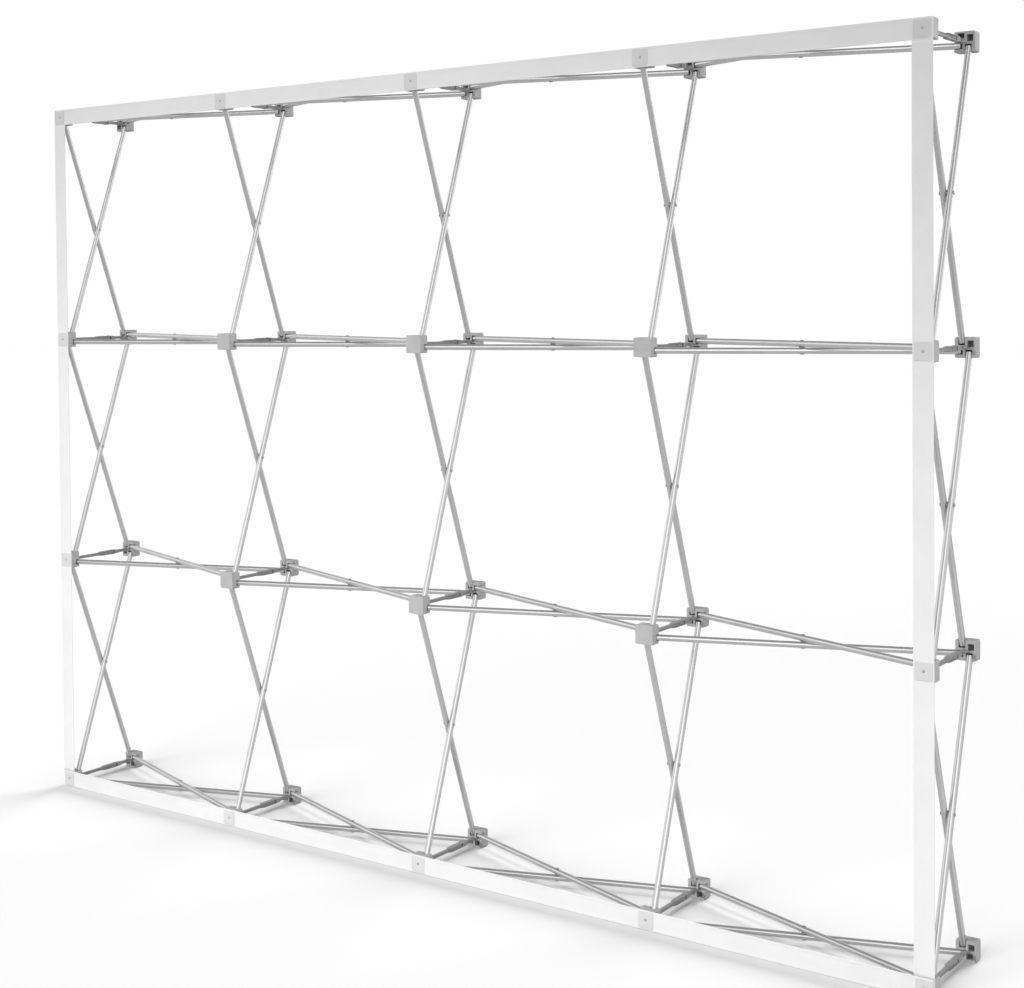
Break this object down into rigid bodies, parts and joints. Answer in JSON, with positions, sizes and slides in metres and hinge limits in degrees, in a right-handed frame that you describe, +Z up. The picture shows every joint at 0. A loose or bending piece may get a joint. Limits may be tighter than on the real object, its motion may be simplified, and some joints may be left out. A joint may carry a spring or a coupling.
{
  "type": "pop up display backwall",
  "caption": "Straight folding display frame of square hubs and crossing tubes, with lock arms front to back and hook and loop tape round the front",
  "frame": {"origin": "on the floor, under the middle of the standing frame", "axes": "+X along the width, to the right seen from the front; +Y to the back, so the taped front faces -Y; +Z up"},
  "size_m": [2.97, 0.3064, 2.24],
  "materials": {
    "tube": "satin drawn tube",
    "hub_front": "moulded nylon, fine texture",
    "hub_rear": "moulded nylon, fine texture",
    "dark_plastic": "moulded plastic",
    "lock_arm": "moulded nylon, worn at the catch",
    "steel": "zinc plated",
    "steel_dark": "zinc plated, dull",
    "tape": "woven hook and loop tape",
    "tape_pad": "woven patch with a stitched edge"
  },
  "bodies": {
    "frame": {"front_hubs": "hub_front", "rear_hubs": "hub_rear", "hub_pins": "steel", "tube_end_plugs": "dark_plastic", "scissor_rivets": "steel", "lock_arm_pins": "steel", "top_tape": "tape", "bottom_tape": "tape", "side_tapes": "tape", "tape_pads": "tape_pad", "tape_screws": "steel_dark", "row_1_tubes": "tube", "row_2_tubes": "tube", "row_3_tubes": "tube", "row_4_tubes": "tube", "column_1_tubes": "tube", "column_2_tubes": "tube", "column_3_tubes": "tube", "column_4_tubes": "tube", "column_5_tubes": "tube"},
    "hook_arm_c1_r1": {"hook_arm_c1_r1": "lock_arm"},
    "catch_arm_c1_r1": {"catch_arm_c1_r1": "lock_arm"},
    "hook_arm_c1_r2": {"hook_arm_c1_r2": "lock_arm"},
    "catch_arm_c1_r2": {"catch_arm_c1_r2": "lock_arm"},
    "hook_arm_c1_r3": {"hook_arm_c1_r3": "lock_arm"},
    "catch_arm_c1_r3": {"catch_arm_c1_r3": "lock_arm"},
    "hook_arm_c1_r4": {"hook_arm_c1_r4": "lock_arm"},
    "catch_arm_c1_r4": {"catch_arm_c1_r4": "lock_arm"},
    "hook_arm_c2_r1": {"hook_arm_c2_r1": "lock_arm"},
    "catch_arm_c2_r1": {"catch_arm_c2_r1": "lock_arm"},
    "hook_arm_c2_r2": {"hook_arm_c2_r2": "lock_arm"},
    "catch_arm_c2_r2": {"catch_arm_c2_r2": "lock_arm"},
    "hook_arm_c2_r3": {"hook_arm_c2_r3": "lock_arm"},
    "catch_arm_c2_r3": {"catch_arm_c2_r3": "lock_arm"},
    "hook_arm_c2_r4": {"hook_arm_c2_r4": "lock_arm"},
    "catch_arm_c2_r4": {"catch_arm_c2_r4": "lock_arm"},
    "hook_arm_c3_r1": {"hook_arm_c3_r1": "lock_arm"},
    "catch_arm_c3_r1": {"catch_arm_c3_r1": "lock_arm"},
    "hook_arm_c3_r2": {"hook_arm_c3_r2": "lock_arm"},
    "catch_arm_c3_r2": {"catch_arm_c3_r2": "lock_arm"},
    "hook_arm_c3_r3": {"hook_arm_c3_r3": "lock_arm"},
    "catch_arm_c3_r3": {"catch_arm_c3_r3": "lock_arm"},
    "hook_arm_c3_r4": {"hook_arm_c3_r4": "lock_arm"},
    "catch_arm_c3_r4": {"catch_arm_c3_r4": "lock_arm"},
    "hook_arm_c4_r1": {"hook_arm_c4_r1": "lock_arm"},
    "catch_arm_c4_r1": {"catch_arm_c4_r1": "lock_arm"},
    "hook_arm_c4_r2": {"hook_arm_c4_r2": "lock_arm"},
    "catch_arm_c4_r2": {"catch_arm_c4_r2": "lock_arm"},
    "hook_arm_c4_r3": {"hook_arm_c4_r3": "lock_arm"},
    "catch_arm_c4_r3": {"catch_arm_c4_r3": "lock_arm"},
    "hook_arm_c4_r4": {"hook_arm_c4_r4": "lock_arm"},
    "catch_arm_c4_r4": {"catch_arm_c4_r4": "lock_arm"},
    "hook_arm_c5_r1": {"hook_arm_c5_r1": "lock_arm"},
    "catch_arm_c5_r1": {"catch_arm_c5_r1": "lock_arm"},
    "hook_arm_c5_r2": {"hook_arm_c5_r2": "lock_arm"},
    "catch_arm_c5_r2": {"catch_arm_c5_r2": "lock_arm"},
    "hook_arm_c5_r3": {"hook_arm_c5_r3": "lock_arm"},
    "catch_arm_c5_r3": {"catch_arm_c5_r3": "lock_arm"},
    "hook_arm_c5_r4": {"hook_arm_c5_r4": "lock_arm"},
    "catch_arm_c5_r4": {"catch_arm_c5_r4": "lock_arm"}
  },
  "joints": [
    {"name": "hook_swing_c1_r1", "type": "hinge", "parent": "frame", "child": "hook_arm_c1_r1", "pos_m": [-1.46, -0.10785, 0.025], "axis": [0, 0, -1], "range_deg": [0, 60]},
    {"name": "catch_swing_c1_r1", "type": "hinge", "parent": "frame", "child": "catch_arm_c1_r1", "pos_m": [-1.46, 0.11015, 0.025], "axis": [0, 0, -1], "range_deg": [0, 60]},
    {"name": "hook_swing_c1_r2", "type": "hinge", "parent": "frame", "child": "hook_arm_c1_r2", "pos_m": [-1.46, -0.10785, 0.755], "axis": [0, 0, -1], "range_deg": [0, 60]},
    {"name": "catch_swing_c1_r2", "type": "hinge", "parent": "frame", "child": "catch_arm_c1_r2", "pos_m": [-1.46, 0.11015, 0.755], "axis": [0, 0, -1], "range_deg": [0, 60]},
    {"name": "hook_swing_c1_r3", "type": "hinge", "parent": "frame", "child": "hook_arm_c1_r3", "pos_m": [-1.46, -0.10785, 1.485], "axis": [0, 0, -1], "range_deg": [0, 60]},
    {"name": "catch_swing_c1_r3", "type": "hinge", "parent": "frame", "child": "catch_arm_c1_r3", "pos_m": [-1.46, 0.11015, 1.485], "axis": [0, 0, -1], "range_deg": [0, 60]},
    {"name": "hook_swing_c1_r4", "type": "hinge", "parent": "frame", "child": "hook_arm_c1_r4", "pos_m": [-1.46, -0.10785, 2.215], "axis": [0, 0, -1], "range_deg": [0, 60]},
    {"name": "catch_swing_c1_r4", "type": "hinge", "parent": "frame", "child": "catch_arm_c1_r4", "pos_m": [-1.46, 0.11015, 2.215], "axis": [0, 0, -1], "range_deg": [0, 60]},
    {"name": "hook_swing_c2_r1", "type": "hinge", "parent": "frame", "child": "hook_arm_c2_r1", "pos_m": [-0.73, -0.10785, 0.025], "axis": [0, 0, -1], "range_deg": [0, 60]},
    {"name": "catch_swing_c2_r1", "type": "hinge", "parent": "frame", "child": "catch_arm_c2_r1", "pos_m": [-0.73, 0.11015, 0.025], "axis": [0, 0, -1], "range_deg": [0, 60]},
    {"name": "hook_swing_c2_r2", "type": "hinge", "parent": "frame", "child": "hook_arm_c2_r2", "pos_m": [-0.73, -0.10785, 0.755], "axis": [0, 0, -1], "range_deg": [0, 60]},
    {"name": "catch_swing_c2_r2", "type": "hinge", "parent": "frame", "child": "catch_arm_c2_r2", "pos_m": [-0.73, 0.11015, 0.755], "axis": [0, 0, -1], "range_deg": [0, 60]},
    {"name": "hook_swing_c2_r3", "type": "hinge", "parent": "frame", "child": "hook_arm_c2_r3", "pos_m": [-0.73, -0.10785, 1.485], "axis": [0, 0, -1], "range_deg": [0, 60]},
    {"name": "catch_swing_c2_r3", "type": "hinge", "parent": "frame", "child": "catch_arm_c2_r3", "pos_m": [-0.73, 0.11015, 1.485], "axis": [0, 0, -1], "range_deg": [0, 60]},
    {"name": "hook_swing_c2_r4", "type": "hinge", "parent": "frame", "child": "hook_arm_c2_r4", "pos_m": [-0.73, -0.10785, 2.215], "axis": [0, 0, -1], "range_deg": [0, 60]},
    {"name": "catch_swing_c2_r4", "type": "hinge", "parent": "frame", "child": "catch_arm_c2_r4", "pos_m": [-0.73, 0.11015, 2.215], "axis": [0, 0, -1], "range_deg": [0, 60]},
    {"name": "hook_swing_c3_r1", "type": "hinge", "parent": "frame", "child": "hook_arm_c3_r1", "pos_m": [0, -0.10785, 0.025], "axis": [0, 0, -1], "range_deg": [0, 60]},
    {"name": "catch_swing_c3_r1", "type": "hinge", "parent": "frame", "child": "catch_arm_c3_r1", "pos_m": [0, 0.11015, 0.025], "axis": [0, 0, -1], "range_deg": [0, 60]},
    {"name": "hook_swing_c3_r2", "type": "hinge", "parent": "frame", "child": "hook_arm_c3_r2", "pos_m": [0, -0.10785, 0.755], "axis": [0, 0, -1], "range_deg": [0, 60]},
    {"name": "catch_swing_c3_r2", "type": "hinge", "parent": "frame", "child": "catch_arm_c3_r2", "pos_m": [0, 0.11015, 0.755], "axis": [0, 0, -1], "range_deg": [0, 60]},
    {"name": "hook_swing_c3_r3", "type": "hinge", "parent": "frame", "child": "hook_arm_c3_r3", "pos_m": [0, -0.10785, 1.485], "axis": [0, 0, -1], "range_deg": [0, 60]},
    {"name": "catch_swing_c3_r3", "type": "hinge", "parent": "frame", "child": "catch_arm_c3_r3", "pos_m": [0, 0.11015, 1.485], "axis": [0, 0, -1], "range_deg": [0, 60]},
    {"name": "hook_swing_c3_r4", "type": "hinge", "parent": "frame", "child": "hook_arm_c3_r4", "pos_m": [0, -0.10785, 2.215], "axis": [0, 0, -1], "range_deg": [0, 60]},
    {"name": "catch_swing_c3_r4", "type": "hinge", "parent": "frame", "child": "catch_arm_c3_r4", "pos_m": [0, 0.11015, 2.215], "axis": [0, 0, -1], "range_deg": [0, 60]},
    {"name": "hook_swing_c4_r1", "type": "hinge", "parent": "frame", "child": "hook_arm_c4_r1", "pos_m": [0.73, -0.10785, 0.025], "axis": [0, 0, -1], "range_deg": [0, 60]},
    {"name": "catch_swing_c4_r1", "type": "hinge", "parent": "frame", "child": "catch_arm_c4_r1", "pos_m": [0.73, 0.11015, 0.025], "axis": [0, 0, -1], "range_deg": [0, 60]},
    {"name": "hook_swing_c4_r2", "type": "hinge", "parent": "frame", "child": "hook_arm_c4_r2", "pos_m": [0.73, -0.10785, 0.755], "axis": [0, 0, -1], "range_deg": [0, 60]},
    {"name": "catch_swing_c4_r2", "type": "hinge", "parent": "frame", "child": "catch_arm_c4_r2", "pos_m": [0.73, 0.11015, 0.755], "axis": [0, 0, -1], "range_deg": [0, 60]},
    {"name": "hook_swing_c4_r3", "type": "hinge", "parent": "frame", "child": "hook_arm_c4_r3", "pos_m": [0.73, -0.10785, 1.485], "axis": [0, 0, -1], "range_deg": [0, 60]},
    {"name": "catch_swing_c4_r3", "type": "hinge", "parent": "frame", "child": "catch_arm_c4_r3", "pos_m": [0.73, 0.11015, 1.485], "axis": [0, 0, -1], "range_deg": [0, 60]},
    {"name": "hook_swing_c4_r4", "type": "hinge", "parent": "frame", "child": "hook_arm_c4_r4", "pos_m": [0.73, -0.10785, 2.215], "axis": [0, 0, -1], "range_deg": [0, 60]},
    {"name": "catch_swing_c4_r4", "type": "hinge", "parent": "frame", "child": "catch_arm_c4_r4", "pos_m": [0.73, 0.11015, 2.215], "axis": [0, 0, -1], "range_deg": [0, 60]},
    {"name": "hook_swing_c5_r1", "type": "hinge", "parent": "frame", "child": "hook_arm_c5_r1", "pos_m": [1.46, -0.10785, 0.025], "axis": [0, 0, -1], "range_deg": [0, 60]},
    {"name": "catch_swing_c5_r1", "type": "hinge", "parent": "frame", "child": "catch_arm_c5_r1", "pos_m": [1.46, 0.11015, 0.025], "axis": [0, 0, -1], "range_deg": [0, 60]},
    {"name": "hook_swing_c5_r2", "type": "hinge", "parent": "frame", "child": "hook_arm_c5_r2", "pos_m": [1.46, -0.10785, 0.755], "axis": [0, 0, -1], "range_deg": [0, 60]},
    {"name": "catch_swing_c5_r2", "type": "hinge", "parent": "frame", "child": "catch_arm_c5_r2", "pos_m": [1.46, 0.11015, 0.755], "axis": [0, 0, -1], "range_deg": [0, 60]},
    {"name": "hook_swing_c5_r3", "type": "hinge", "parent": "frame", "child": "hook_arm_c5_r3", "pos_m": [1.46, -0.10785, 1.485], "axis": [0, 0, -1], "range_deg": [0, 60]},
    {"name": "catch_swing_c5_r3", "type": "hinge", "parent": "frame", "child": "catch_arm_c5_r3", "pos_m": [1.46, 0.11015, 1.485], "axis": [0, 0, -1], "range_deg": [0, 60]},
    {"name": "hook_swing_c5_r4", "type": "hinge", "parent": "frame", "child": "hook_arm_c5_r4", "pos_m": [1.46, -0.10785, 2.215], "axis": [0, 0, -1], "range_deg": [0, 60]},
    {"name": "catch_swing_c5_r4", "type": "hinge", "parent": "frame", "child": "catch_arm_c5_r4", "pos_m": [1.46, 0.11015, 2.215], "axis": [0, 0, -1], "range_deg": [0, 60]}
  ]
}
